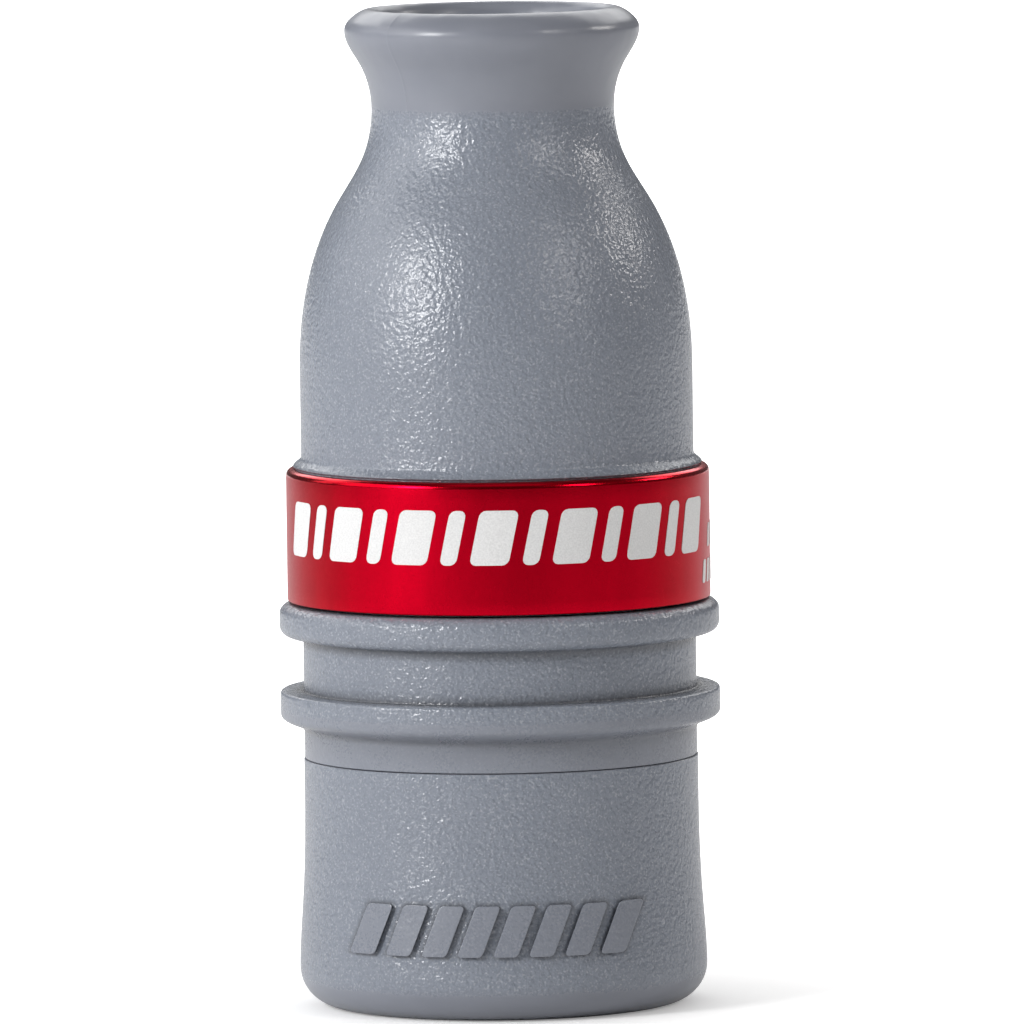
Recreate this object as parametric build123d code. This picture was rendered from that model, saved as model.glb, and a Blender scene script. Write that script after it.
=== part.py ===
from build123d import *
import os

# A short hand call, standing on its sound end with the blown lip up.
# Millimetres, +Z up, origin at the centre of the face it rests on. The reed faces -Y, the front.

# Heights
HEIGHT = 77.0
SEAM_Z = 19.2
SEAM_GAP = 0.06
LAND_Z = 31.25
LAND_GAP = 0.04
BAND_Z0 = 31.43
BAND_Z1 = 41.63
FOOT_Z = 41.73
TENON_TOP = 42.0

# Outer radii
BELLY_R = 15.17
BODY_R = 15.18
RIB_R = 17.0
GROOVE_R = 15.19
BAND_R = 16.35
BAND_WALL = 0.75
FOOT_R = 15.8
FOOT_CHAMFER = 0.1
BAND_TOP_FILLET = 0.5
BAND_LOW_FILLET = 0.2

# Lip and neck
LIP_R = 11.39
LIP_Z = 75.4
LIP_BEND = (10.7, 76.5)
CREST_R = 9.3
LIP_BORE_R = 8.6
FLARE = (10.25, 72.85)
NECK_R = 9.37
NECK_Z = 69.4
NECK_BORE_R = 7.25
NECK_BORE_TOP = 69.8
NECK_BORE_LOW = 68.6

# Shoulder and belly
SHOULDER = [(14.13, 57.35), (12.17, 62.0), (10.06, 65.7)]
BELLY_TOP = 49.5
BELLY_LOW = 42.6
FOOT_LEAN = (-0.4, 1)
THROAT = (9.55, 61.9)
CAVITY_TOP = 48.0

# Ribs and lanyard groove
LAND_R = 16.15
RIB_1_TOP = 30.46
RIB_1_LEAN = (1, -0.15)
RIB_1_SIDE_LOW = 29.5
RIB_1_LOW = 28.7
RIB_1_FLAT_R = 16.2
RIB_1_ROUND = 0.23
GROOVE_FILLET = 0.4
GROOVE_FILLET_IN = 0.12
RIB_2_TOP = 24.45
RIB_2_EDGE = 0.3
RIB_2_EDGE_IN = 0.09
RIB_2_LOW = 22.65
SKIRT_TOP = 21.2
SKIRT_CHAMFER = 0.05

# Barrel socket and the insert's tenon
SOCKET_R = 13.15
SOCKET_TOP = 43.2
CAVITY_R = 12.85
TENON_R = 12.95
TENON_CHAMFER = 0.6
LEAD_IN = 0.5
TENON_BORE_R = 10.6
COLLAR_BORE_R = 13.25
COLLAR_BORE_TOP = 28.6
COLLAR_CONE = 1.2
DISC_T = 2.0
HUB_BORE_R = 6.32
HUB_R = 8.3
HUB_BOTTOM = 33.0
GUSSETS = 4
GUSSET_T = 1.2
GUSSET_BOTTOM = 36.0
GUSSET_TURN = 45
OVERLAP = 0.1

# Rubber rings on the tenon
RING_HEIGHTS = {"lower": 34.9, "upper": 38.7}
RING_GROOVE_R = 11.7
RING_GROOVE_W = 2.2
RING_W = 2.04
RING_CLEAR = 0.06
RING_FILLET = 0.45

# End shell
END_BORE_R = 12.2
END_WALL = 2.4
END_HOLE_R = 9.5
END_CORNER_R = 3.0
END_EDGE_R = 15.24
END_EDGE_CHAMFER = 0.06
END_SIDE = [(15.26, 14.0), (15.47, 8.4)]
HOLE_CHAMFER = 0.6
SPIGOT_CHAMFER = 0.4
FOOT_RING_R = 12.76
SPIGOT_R = 13.2
SPIGOT_TOP = 24.0
SNAP_Z = 22.0
SNAP_H = 0.2
SNAP_HALF_W = 0.7

# Raised bars on the front of the end shell
BAR_COUNT = 8
BAR_W = 1.9
BAR_PITCH = 2.75
BARS_X = -0.5
BAR_Z0 = 5.2
BAR_Z1 = 9.1
BAR_SLANT = 1.5
BAR_PROUD = 0.45
BAR_ROOT_R = 14.5
BAR_SKETCH_Y = -8
BAR_DEPTH = 12

# Tone board, with its flat face on the plane y = 0
BOARD_BASE_R = 6.3
BOARD_R = 5.9
BOARD_BOTTOM = 33.5
BOARD_FULL_TOP = 36.4
BOARD_STEP = 46.4
BOARD_TIP = 62.5
BOARD_TIP_FILLET = 3.0
FACE_DROP = 0.45
CHANNEL_R = 2.3
CHANNEL_DEPTH = 3.2
CHANNEL_TOP = 59.0
PAST = 1.0
FLANGE_R = 7.6
FLANGE_T = 1.0

# Reed
REED_HALF_W = 4.2
REED_T = 0.3
REED_OFF = 0.05
REED_BOTTOM = 41.0
REED_TIP = 61.6

# Wedge
WEDGE_TOP = 46.0
WEDGE_BOTTOM = 36.6
WEDGE_SLOT_HALF_W = 4.4
WEDGE_SLOT_BOTTOM = 40.7
WEDGE_SLOT_DEEP = 0.56
WEDGE_SLOT_MOUTH = 0.42
WEDGE_SLOPE_Y = -2.2
WEDGE_SLOPE_DROP = 2.4
FIT_GAP = 0.02

# Tuning ring
TUNER_Z = 49.0
TUNER_W = 1.8
TUNER_WALL = 1.5
TUNER_CLEAR = 0.1
TUNER_FRONT = 0.6
TUNER_FILLET = 0.5
TUNER_CHAMFER = 0.3


def node(shape, name):
    """Name one piece and write its file."""
    shape.label = name
    export_step(shape, "parts/" + name + ".step")


def turned(profile):
    """Revolve a closed outline drawn on the XZ plane about Z."""
    return revolve(make_face(profile), Axis.Z, 360)


def line(*points):
    """Straight runs through (radius, height) points on the XZ plane."""
    return Polyline(*[(r, 0, z) for r, z in points])


def curve(points, start, end):
    """Smooth curve through (radius, height) points, with its two end directions."""
    tangents = [(start[0], 0, start[1]), (end[0], 0, end[1])]
    return Spline(*[(r, 0, z) for r, z in points], tangents=tangents)


def corner(start, middle, end):
    """Arc through three (radius, height) points."""
    return ThreePointArc(*[(r, 0, z) for r, z in (start, middle, end)])


def ring(r_in, r_out, z0, z1):
    """Plain ring about Z."""
    height = z1 - z0
    tube = Cylinder(r_out, height) - Cylinder(r_in, height)
    return Pos(0, 0, (z0 + z1) / 2) * tube


def slab(x0, x1, y0, y1, z0, z1):
    """Box between two corners."""
    centre = Pos((x0 + x1) / 2, (y0 + y1) / 2, (z0 + z1) / 2)
    return centre * Box(x1 - x0, y1 - y0, z1 - z0)


def make_barrel():
    """Bottle-shaped shell: flared lip, neck, belly, foot, and the socket that takes the tenon."""
    down = (0, -1)
    up = (0, 1)
    band_seat_r = BAND_R - BAND_WALL - FIT_GAP
    end_z = LAND_Z + LAND_GAP
    lip = (LIP_R, LIP_Z)
    lip_bore = (LIP_BORE_R, LIP_Z)
    bore_top = (NECK_BORE_R, NECK_BORE_TOP)
    bore_low = (NECK_BORE_R, NECK_BORE_LOW)
    cavity_top = (CAVITY_R, CAVITY_TOP)
    foot_edge = (FOOT_R, FOOT_Z + FOOT_CHAMFER)
    belly_low = (BELLY_R, BELLY_LOW)
    belly_top = (BELLY_R, BELLY_TOP)
    neck = (NECK_R, NECK_Z)
    socket = line(
        cavity_top,
        (CAVITY_R, SOCKET_TOP + SOCKET_R - CAVITY_R),
        (SOCKET_R, SOCKET_TOP),
        (SOCKET_R, end_z + LEAD_IN),
        (SOCKET_R + LEAD_IN, end_z),
        (band_seat_r, end_z),
        (band_seat_r, FOOT_Z),
        (FOOT_R - FOOT_CHAMFER, FOOT_Z),
        foot_edge,
    )
    return turned([
        curve([neck, FLARE, lip], up, up),
        curve([lip, LIP_BEND, (CREST_R, HEIGHT), lip_bore], up, down),
        curve([lip_bore, bore_top], down, down),
        line(bore_top, bore_low),
        curve([bore_low, THROAT, cavity_top], down, down),
        socket,
        curve([foot_edge, belly_low], FOOT_LEAN, up),
        line(belly_low, belly_top),
        curve([belly_top] + SHOULDER + [neck], up, up),
    ])


def make_band():
    """Thin metal ring with rounded edges, pressed on the barrel's end against its foot."""
    body = ring(BAND_R - BAND_WALL, BAND_R, BAND_Z0, BAND_Z1)
    outer = body.edges().filter_by(GeomType.CIRCLE).group_by(SortBy.RADIUS)[-1].sort_by(Axis.Z)
    body = fillet(outer[-1], BAND_TOP_FILLET)
    outer = body.edges().filter_by(GeomType.CIRCLE).group_by(SortBy.RADIUS)[-1].sort_by(Axis.Z)
    return fillet(outer[0], BAND_LOW_FILLET)


def make_insert():
    """Collar with two ribs and the lanyard groove, hollow tenon, and the hub for the tone board."""
    down = (0, -1)
    skirt_z = SEAM_Z + SEAM_GAP / 2
    disc_z = TENON_TOP - DISC_T
    land = line((TENON_R, LAND_Z), (LAND_R, LAND_Z))
    side_low = (RIB_R, RIB_1_SIDE_LOW)
    under = (RIB_1_FLAT_R, RIB_1_LOW)
    under_end = (GROOVE_R + GROOVE_FILLET, RIB_1_LOW)
    groove_top = (GROOVE_R, RIB_1_LOW - GROOVE_FILLET)
    rib_1 = [
        curve([(LAND_R, LAND_Z), (RIB_R, RIB_1_TOP)], RIB_1_LEAN, down),
        line((RIB_R, RIB_1_TOP), side_low),
        corner(side_low, (RIB_R - RIB_1_ROUND, RIB_1_LOW + RIB_1_ROUND), under),
        line(under, under_end),
        corner(under_end, (GROOVE_R + GROOVE_FILLET_IN, RIB_1_LOW - GROOVE_FILLET_IN), groove_top),
    ]
    step = (RIB_R - RIB_2_EDGE, RIB_2_TOP)
    side_top = (RIB_R, RIB_2_TOP - RIB_2_EDGE)
    groove = line(groove_top, (GROOVE_R, RIB_2_TOP), step)
    rib_2 = [
        corner(step, (RIB_R - RIB_2_EDGE_IN, RIB_2_TOP - RIB_2_EDGE_IN), side_top),
        line(side_top, (RIB_R, RIB_2_LOW)),
        curve([(RIB_R, RIB_2_LOW), (BODY_R, SKIRT_TOP)], down, down),
    ]
    skirt = line(
        (BODY_R, SKIRT_TOP),
        (BODY_R, skirt_z + SKIRT_CHAMFER),
        (BODY_R - SKIRT_CHAMFER, skirt_z),
        (COLLAR_BORE_R, skirt_z),
    )
    hollow = line(
        (COLLAR_BORE_R, skirt_z),
        (COLLAR_BORE_R, SNAP_Z - SNAP_HALF_W),
        (COLLAR_BORE_R + SNAP_H, SNAP_Z),
        (COLLAR_BORE_R, SNAP_Z + SNAP_HALF_W),
        (COLLAR_BORE_R, COLLAR_BORE_TOP),
        (TENON_BORE_R, COLLAR_BORE_TOP + COLLAR_CONE),
        (TENON_BORE_R, disc_z),
        (HUB_R, disc_z),
        (HUB_R, HUB_BOTTOM),
        (HUB_BORE_R, HUB_BOTTOM),
        (HUB_BORE_R, TENON_TOP),
        (TENON_R - TENON_CHAMFER, TENON_TOP),
        (TENON_R, TENON_TOP - TENON_CHAMFER),
        (TENON_R, LAND_Z),
    )
    body = turned([land] + rib_1 + [groove] + rib_2 + [skirt, hollow])
    for z in RING_HEIGHTS.values():
        body -= ring(RING_GROOVE_R, TENON_R + PAST, z - RING_GROOVE_W / 2, z + RING_GROOVE_W / 2)
    gusset = slab(
        HUB_R - OVERLAP, TENON_BORE_R + OVERLAP,
        -GUSSET_T / 2, GUSSET_T / 2,
        GUSSET_BOTTOM, disc_z + OVERLAP,
    )
    for i in range(GUSSETS):
        body += Rot(0, 0, GUSSET_TURN + i * 360 / GUSSETS) * gusset
    return body


def make_tenon_ring(z):
    """Rubber ring seated in its groove and squeezed nearly square by the socket."""
    r_in = RING_GROOVE_R + RING_CLEAR
    r_out = SOCKET_R - RING_CLEAR
    body = ring(r_in, r_out, z - RING_W / 2, z + RING_W / 2)
    return fillet(body.edges().filter_by(GeomType.CIRCLE), RING_FILLET)


def end_outline():
    """Outside of the end shell, from its top edge down to the ring it rests on."""
    edge_z = SEAM_Z - SEAM_GAP / 2
    top = (END_EDGE_R, edge_z - END_EDGE_CHAMFER)
    corner_top = (FOOT_RING_R + END_CORNER_R, END_CORNER_R)
    turn = END_CORNER_R * (1 - 0.5**0.5)
    corner_mid = (FOOT_RING_R + END_CORNER_R - turn, turn)
    return [
        line((END_EDGE_R - END_EDGE_CHAMFER, edge_z), top),
        curve([top] + END_SIDE + [corner_top], (0, -1), (0, -1)),
        corner(corner_top, corner_mid, (FOOT_RING_R, 0)),
    ]


def slanted_bar(x, inside):
    """One raised bar on the front, as deep as the solid it is cut from."""
    half_w = BAR_W / 2
    lean = BAR_SLANT / 2
    corners = [
        (x - half_w - lean, BAR_Z0),
        (x + half_w - lean, BAR_Z0),
        (x + half_w + lean, BAR_Z1),
        (x - half_w + lean, BAR_Z1),
    ]
    outline = make_face(Polyline(*[(px, BAR_SKETCH_Y, pz) for px, pz in corners], close=True))
    return extrude(outline, amount=BAR_DEPTH, dir=(0, -1, 0)) & inside


def make_end_shell():
    """Lower shell with the sound hole in its end, a snap spigot, and slanted raised bars in front."""
    edge_z = SEAM_Z - SEAM_GAP / 2
    edge = (END_EDGE_R - END_EDGE_CHAMFER, edge_z)
    inside = line(
        (FOOT_RING_R, 0),
        (END_HOLE_R + HOLE_CHAMFER, 0),
        (END_HOLE_R, HOLE_CHAMFER),
        (END_HOLE_R, END_WALL - HOLE_CHAMFER),
        (END_HOLE_R + HOLE_CHAMFER, END_WALL),
        (END_BORE_R, END_WALL),
        (END_BORE_R, SPIGOT_TOP),
        (SPIGOT_R - SPIGOT_CHAMFER, SPIGOT_TOP),
        (SPIGOT_R, SPIGOT_TOP - SPIGOT_CHAMFER),
        (SPIGOT_R, SNAP_Z + SNAP_HALF_W),
        (SPIGOT_R + SNAP_H, SNAP_Z),
        (SPIGOT_R, SNAP_Z - SNAP_HALF_W),
        (SPIGOT_R, edge_z),
        edge,
    )
    body = turned(end_outline() + [inside])
    core = turned(end_outline() + [line((FOOT_RING_R, 0), (0, 0), (0, edge_z), edge)])
    raised = offset(core, BAR_PROUD)
    first = BARS_X - (BAR_COUNT - 1) * BAR_PITCH / 2
    for i in range(BAR_COUNT):
        body += slanted_bar(first + i * BAR_PITCH, raised) - ring(0, BAR_ROOT_R, 0, SEAM_Z)
    return body


def half_round(radius, z0, z1):
    """Half of a rod about Z, behind the plane y = 0."""
    rod = Pos(0, 0, (z0 + z1) / 2) * Cylinder(radius, z1 - z0)
    return rod & slab(-radius - PAST, radius + PAST, 0, radius + PAST, z0, z1)


def prism(points, half_width):
    """Solid along X through a closed outline of (y, z) points."""
    outline = make_face(Polyline(*[(0, y, z) for y, z in points], close=True))
    return extrude(outline, amount=half_width, dir=(1, 0, 0), both=True)


def make_tone_board():
    """Half-round board with the tone channel, its round base and the flange that sets its depth."""
    base = Pos(0, 0, (BOARD_BOTTOM + BOARD_FULL_TOP) / 2) * Cylinder(BOARD_BASE_R, BOARD_FULL_TOP - BOARD_BOTTOM)
    body = base + half_round(BOARD_BASE_R, BOARD_FULL_TOP, BOARD_STEP)
    body += half_round(BOARD_R, BOARD_STEP, BOARD_TIP)
    body += half_round(FLANGE_R, TENON_TOP, TENON_TOP + FLANGE_T)
    # The face falls away from the reed towards the tip, which leaves the reed its gap.
    tip_z = BOARD_TIP + PAST
    body -= prism([(0, BOARD_STEP), (FACE_DROP, tip_z), (-PAST, tip_z), (-PAST, BOARD_STEP)], BOARD_R + PAST)
    # The tip's two corners are rounded.
    middle = (BOARD_STEP + BOARD_TIP) / 2
    tip = Pos(0, middle) * RectangleRounded(2 * BOARD_R, BOARD_TIP - BOARD_STEP, BOARD_TIP_FILLET)
    round_tip = extrude(Plane.XZ * tip, amount=BOARD_R + PAST, both=True)
    reach = FLANGE_R + PAST
    body = body & (round_tip + slab(-reach, reach, -reach, reach, BOARD_BOTTOM, middle))
    # Channel: a round-bottomed trough, closed at the tip and open through the base.
    depth = CHANNEL_DEPTH - CHANNEL_R
    end_z = CHANNEL_TOP - CHANNEL_R
    low_z = BOARD_BOTTOM - PAST
    trough = Pos(0, depth, (low_z + end_z) / 2) * Cylinder(CHANNEL_R, end_z - low_z)
    trough_end = Pos(0, depth, end_z) * Sphere(CHANNEL_R)
    mouth = slab(-CHANNEL_R, CHANNEL_R, -PAST, depth, BOARD_FULL_TOP, end_z)
    mouth_end = Pos(0, (depth - PAST) / 2, end_z) * Rot(90, 0, 0) * Cylinder(CHANNEL_R, depth + PAST)
    return body - trough - trough_end - mouth - mouth_end


def make_reed():
    """Thin metal strip with a round tip."""
    round_z = REED_TIP - REED_HALF_W
    strip = slab(-REED_HALF_W, REED_HALF_W, -REED_T / 2, REED_T / 2, REED_BOTTOM, round_z)
    tip = Pos(0, 0, round_z) * Rot(90, 0, 0) * Cylinder(REED_HALF_W, REED_T)
    return Pos(0, -REED_OFF - REED_T / 2, 0) * (strip + tip)


def make_reed_wedge():
    """Half-round cork wedge with a shallow slot over the reed and a sloped top."""
    top = WEDGE_TOP + PAST
    reach = BOARD_BASE_R + PAST
    body = Rot(0, 0, 180) * half_round(BOARD_BASE_R, WEDGE_BOTTOM, WEDGE_TOP)
    body -= slab(-reach, reach, -FIT_GAP, PAST, WEDGE_BOTTOM - PAST, top)
    slot = [(PAST, WEDGE_SLOT_BOTTOM), (-WEDGE_SLOT_DEEP, WEDGE_SLOT_BOTTOM), (-WEDGE_SLOT_MOUTH, top), (PAST, top)]
    body -= prism(slot, WEDGE_SLOT_HALF_W)
    slope = [(WEDGE_SLOPE_Y, WEDGE_TOP), (-reach, WEDGE_TOP - WEDGE_SLOPE_DROP), (-reach, top), (WEDGE_SLOPE_Y, top)]
    return body - prism(slope, reach)


def make_tuning_ring():
    """Rubber ring stretched round the board and the reed, flat in front."""
    r_in = BOARD_R + TUNER_CLEAR

    def outline(radius, front):
        full = Circle(radius) & (Pos(0, (radius - front) / 2) * Rectangle(2 * radius, radius + front))
        return fillet(full.vertices().sort_by(Axis.Y)[:2], TUNER_FILLET)

    flat = outline(r_in + TUNER_WALL, TUNER_FRONT + TUNER_WALL) - outline(r_in, TUNER_FRONT)
    body = extrude(flat, amount=TUNER_W)
    return Pos(0, 0, TUNER_Z) * chamfer(body.edges().filter_by(Plane.XY), TUNER_CHAMFER)


os.makedirs("parts", exist_ok=True)
node(make_barrel(), "barrel")
node(make_band(), "band")
node(make_insert(), "insert")
for place, height in RING_HEIGHTS.items():
    node(make_tenon_ring(height), "tenon_o_ring_" + place)
node(make_end_shell(), "end_shell")
node(make_tone_board(), "tone_board")
node(make_reed(), "reed")
node(make_reed_wedge(), "reed_wedge")
node(make_tuning_ring(), "tuning_ring")
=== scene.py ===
import math

import bmesh
import bpy
import numpy as np
from mathutils import Matrix, Vector


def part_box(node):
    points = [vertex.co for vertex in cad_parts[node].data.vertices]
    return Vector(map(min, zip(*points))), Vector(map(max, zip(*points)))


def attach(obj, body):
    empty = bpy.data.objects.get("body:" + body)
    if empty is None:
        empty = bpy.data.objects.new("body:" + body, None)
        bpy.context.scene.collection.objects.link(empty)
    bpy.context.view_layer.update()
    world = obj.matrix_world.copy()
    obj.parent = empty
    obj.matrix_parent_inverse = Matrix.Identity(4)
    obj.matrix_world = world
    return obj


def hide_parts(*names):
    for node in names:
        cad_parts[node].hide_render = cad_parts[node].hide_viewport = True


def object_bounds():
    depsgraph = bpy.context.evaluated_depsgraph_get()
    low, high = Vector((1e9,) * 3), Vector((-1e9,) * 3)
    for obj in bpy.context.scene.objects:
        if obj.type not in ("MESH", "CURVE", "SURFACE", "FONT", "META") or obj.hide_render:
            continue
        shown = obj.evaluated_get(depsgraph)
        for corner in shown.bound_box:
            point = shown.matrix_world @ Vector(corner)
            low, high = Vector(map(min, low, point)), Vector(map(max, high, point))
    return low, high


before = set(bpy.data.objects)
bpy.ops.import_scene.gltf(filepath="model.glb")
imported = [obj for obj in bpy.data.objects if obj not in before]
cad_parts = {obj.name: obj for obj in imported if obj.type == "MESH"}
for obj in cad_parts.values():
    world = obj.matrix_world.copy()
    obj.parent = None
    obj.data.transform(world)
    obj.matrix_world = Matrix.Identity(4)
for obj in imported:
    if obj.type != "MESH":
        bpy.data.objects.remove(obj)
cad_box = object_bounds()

# The call stands on z = 0 with its blown lip up, and its front, with the raised bars, faces -Y.
# The pieces' lengths are in millimetres, and MM turns them into metres. Outlines to be turned are
# (radius, height) points.
MM = 0.001
TURN = 2 * math.pi
SQUARE_ANGLE = math.pi / 2
SHARP_ANGLE = math.radians(35)
UP, DOWN, INWARDS = (0, 1), (0, -1), (-1, 0)
ALONG_X, ALONG_Y, ALONG_Z = 0, 1, 2

# Heights and radii that several pieces share, read from the frame
HEIGHT = cad_box[1].z / MM
BAND_LOW, BAND_HIGH = (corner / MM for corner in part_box("band"))
BAND_R = BAND_HIGH.x
BAND_BORE_R = BAND_R - 0.75
BARREL_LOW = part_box("barrel")[0].z / MM
INSERT_LOW, INSERT_HIGH = (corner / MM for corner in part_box("insert"))
RIB_R = INSERT_HIGH.x
TENON_TOP = INSERT_HIGH.z
SEAM_Z = INSERT_LOW.z
LAND_Z = BARREL_LOW - 0.04

# Others that several pieces or functions share
COLLAR_R = 16.15
SKIRT_TOP = 21.2
OUTSIDE_R = 15.0
# The snap between the end shell's bead and the insert's groove, as (depth, height)
SNAP_GROOVE = ((0.0, 21.3), (0.2, 22.0), (0.0, 22.7))
# The level of grain where the mould's texture has almost run out
PLAIN_GRAIN = 0.35


# ---------------------------------------------------------------- outlines

def smooth(points, start, end, steps):
    """Points on a smooth curve through the given ones, leaving along start and arriving along end."""
    p = np.array(points, float)
    gaps = np.linalg.norm(np.diff(p, axis=0), axis=1)
    size = len(p)
    rows = np.eye(size)
    sides = np.zeros((size, 2))
    sides[0] = np.array(start) / np.linalg.norm(start)
    sides[-1] = np.array(end) / np.linalg.norm(end)
    for i in range(1, size - 1):
        before, after = gaps[i - 1], gaps[i]
        rows[i, i - 1 : i + 2] = after, 2 * (before + after), before
        sides[i] = 3 * (after * (p[i] - p[i - 1]) / before + before * (p[i + 1] - p[i]) / after)
    slopes = np.linalg.solve(rows, sides)
    made = [tuple(p[0])]
    for i, gap in enumerate(gaps):
        count = max(2, round(steps * gap / gaps.sum()))
        for k in range(1, count + 1):
            t = k / count
            here = (2 * t**3 - 3 * t**2 + 1) * p[i] + (t**3 - 2 * t**2 + t) * gap * slopes[i]
            there = (3 * t**2 - 2 * t**3) * p[i + 1] + (t**3 - t**2) * gap * slopes[i + 1]
            made.append(tuple(here + there))
    return made


def run(start, end, steps):
    """Evenly spaced points on a straight line, with both ends."""
    a, b = np.array(start), np.array(end)
    return [tuple(a + (b - a) * k / steps) for k in range(steps + 1)]


def arc(centre, radius, start, end, count):
    """Evenly spaced points on an arc, from one angle to another."""
    return [(centre[0] + radius * math.cos(a), centre[1] + radius * math.sin(a))
            for a in np.linspace(start, end, count)]


def squared(angle, power):
    """A point of a circle of radius 1 that is pushed out towards a square. Power 2 leaves it round."""
    c, s = math.cos(angle), math.sin(angle)
    reach = (abs(c) ** power + abs(s) ** power) ** (-1 / power)
    return c * reach, s * reach


def rounded(points, radius, steps=4):
    """A polyline whose inner corners are rounded."""
    p = [np.array(q, float) for q in points]
    made = [tuple(p[0])]
    for before, at, after in zip(p, p[1:], p[2:]):
        back, on = before - at, after - at
        reach = min(radius, 0.45 * np.linalg.norm(back), 0.45 * np.linalg.norm(on))
        a = at + back / np.linalg.norm(back) * reach
        b = at + on / np.linalg.norm(on) * reach
        for k in range(steps + 1):
            t = k / steps
            made.append(tuple((1 - t) ** 2 * a + 2 * t * (1 - t) * at + t**2 * b))
    return made + [tuple(p[-1])]


def joined(*stretches):
    """One closed outline from several stretches, without the doubled points where they meet."""
    touching = 1e-4
    made = []
    for stretch in stretches:
        for point in stretch:
            if not made or math.dist(point, made[-1]) > touching:
                made.append(point)
    if math.dist(made[0], made[-1]) < touching:
        made.pop()
    return made


def radius_at(z, rising):
    """The radius at a height of a curve whose (radius, height) points rise."""
    return float(np.interp(z, [height for _, height in rising], [radius for radius, _ in rising]))


def even_angles(count):
    """Even steps round a whole turn."""
    return [TURN * k / count for k in range(count)]


def angle_between(a, b):
    """How far two directions are apart, at most half a turn."""
    return abs((a - b + math.pi) % TURN - math.pi)


# ---------------------------------------------------------------- meshes

def add_object(name, data):
    """Puts a mesh, a lamp or a camera in the scene as a new object."""
    made = bpy.data.objects.new(name, data)
    bpy.context.scene.collection.objects.link(made)
    return made


def shade(obj):
    """Smooth shading with crisp edges where faces meet sharply."""
    obj.data.shade_smooth()
    obj.data.set_sharp_from_angle(angle=SHARP_ANGLE)


def new_object(name, points, faces):
    """A mesh object in the row frame, with its normals outwards."""
    mesh = bpy.data.meshes.new(name)
    mesh.from_pydata([Vector(p) * MM for p in points], [], faces)
    mesh.validate()
    shape = bmesh.new()
    shape.from_mesh(mesh)
    bmesh.ops.recalc_face_normals(shape, faces=shape.faces)
    shape.to_mesh(mesh)
    shape.free()
    made = add_object(name, mesh)
    shade(made)
    return made


def ring_faces(columns, rows):
    """Faces between columns of points, where every column and the row of columns are closed rings."""
    faces = []
    for c in range(columns):
        here, there = c * rows, (c + 1) % columns * rows
        for k in range(rows):
            m = (k + 1) % rows
            faces.append((here + k, here + m, there + m, there + k))
    return faces


def turned(name, outline, angles, shift=None):
    """A closed outline turned round Z.

    Angle 0 is the front, -Y. shift(radius, height, angle) gives how far a point moves outwards.
    """
    points = []
    for angle in angles:
        for r, z in outline:
            out = r + (shift(r, z, angle) if shift else 0)
            points.append((out * math.sin(angle), -out * math.cos(angle), z))
    return new_object(name, points, ring_faces(len(angles), len(outline)))


def set_levels(obj, name, level):
    """Stores level(x, y, z in millimetres) at each vertex, for the material to read."""
    layer = obj.data.attributes.new(name, "FLOAT", "POINT")
    values = [level(*(v.co / MM)) for v in obj.data.vertices]
    layer.data.foreach_set("value", values)


def near(value, middle, reach):
    """1 where value is middle, falling to 0 at reach from it."""
    return max(0.0, 1 - abs(value - middle) / reach)


def bake_modifiers(obj):
    """Turns the object's modifiers into plain mesh."""
    graph = bpy.context.evaluated_depsgraph_get()
    final = obj.evaluated_get(graph)
    mesh = bpy.data.meshes.new_from_object(final, preserve_all_data_layers=True, depsgraph=graph)
    obj.modifiers.clear()
    obj.data = mesh


def combine(obj, other, operation):
    """Adds another solid to obj or cuts it away, then removes it."""
    change = obj.modifiers.new("combine", "BOOLEAN")
    change.operation = operation
    change.solver = "EXACT"
    change.object = other
    bake_modifiers(obj)
    bpy.data.objects.remove(other)


def soften(obj, width, angle=40):
    """Rounds the edges that are sharper than angle, in degrees."""
    change = obj.modifiers.new("soften", "BEVEL")
    change.width = width * MM
    change.segments = 2
    change.limit_method = "ANGLE"
    change.angle_limit = math.radians(angle)
    bake_modifiers(obj)
    shade(obj)


def loft(name, sections):
    """A closed solid through sections of equally many (x, y, z) points, with flat ends."""
    size = len(sections[0])
    points = [p for section in sections for p in section]
    faces = [tuple(range(size - 1, -1, -1))]
    for s in range(len(sections) - 1):
        for k in range(size):
            m = (k + 1) % size
            faces.append((s * size + k, s * size + m, (s + 1) * size + m, (s + 1) * size + k))
    last = (len(sections) - 1) * size
    faces.append(tuple(range(last, last + size)))
    return new_object(name, points, faces)


def prism(name, outline, axis, low, high):
    """A solid with one outline all along an axis. The outline has the other two coordinates, in order."""
    return loft(name, [[(*point[:axis], end, *point[axis:]) for point in outline] for end in (low, high)])


# ---------------------------------------------------------------- materials

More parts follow.
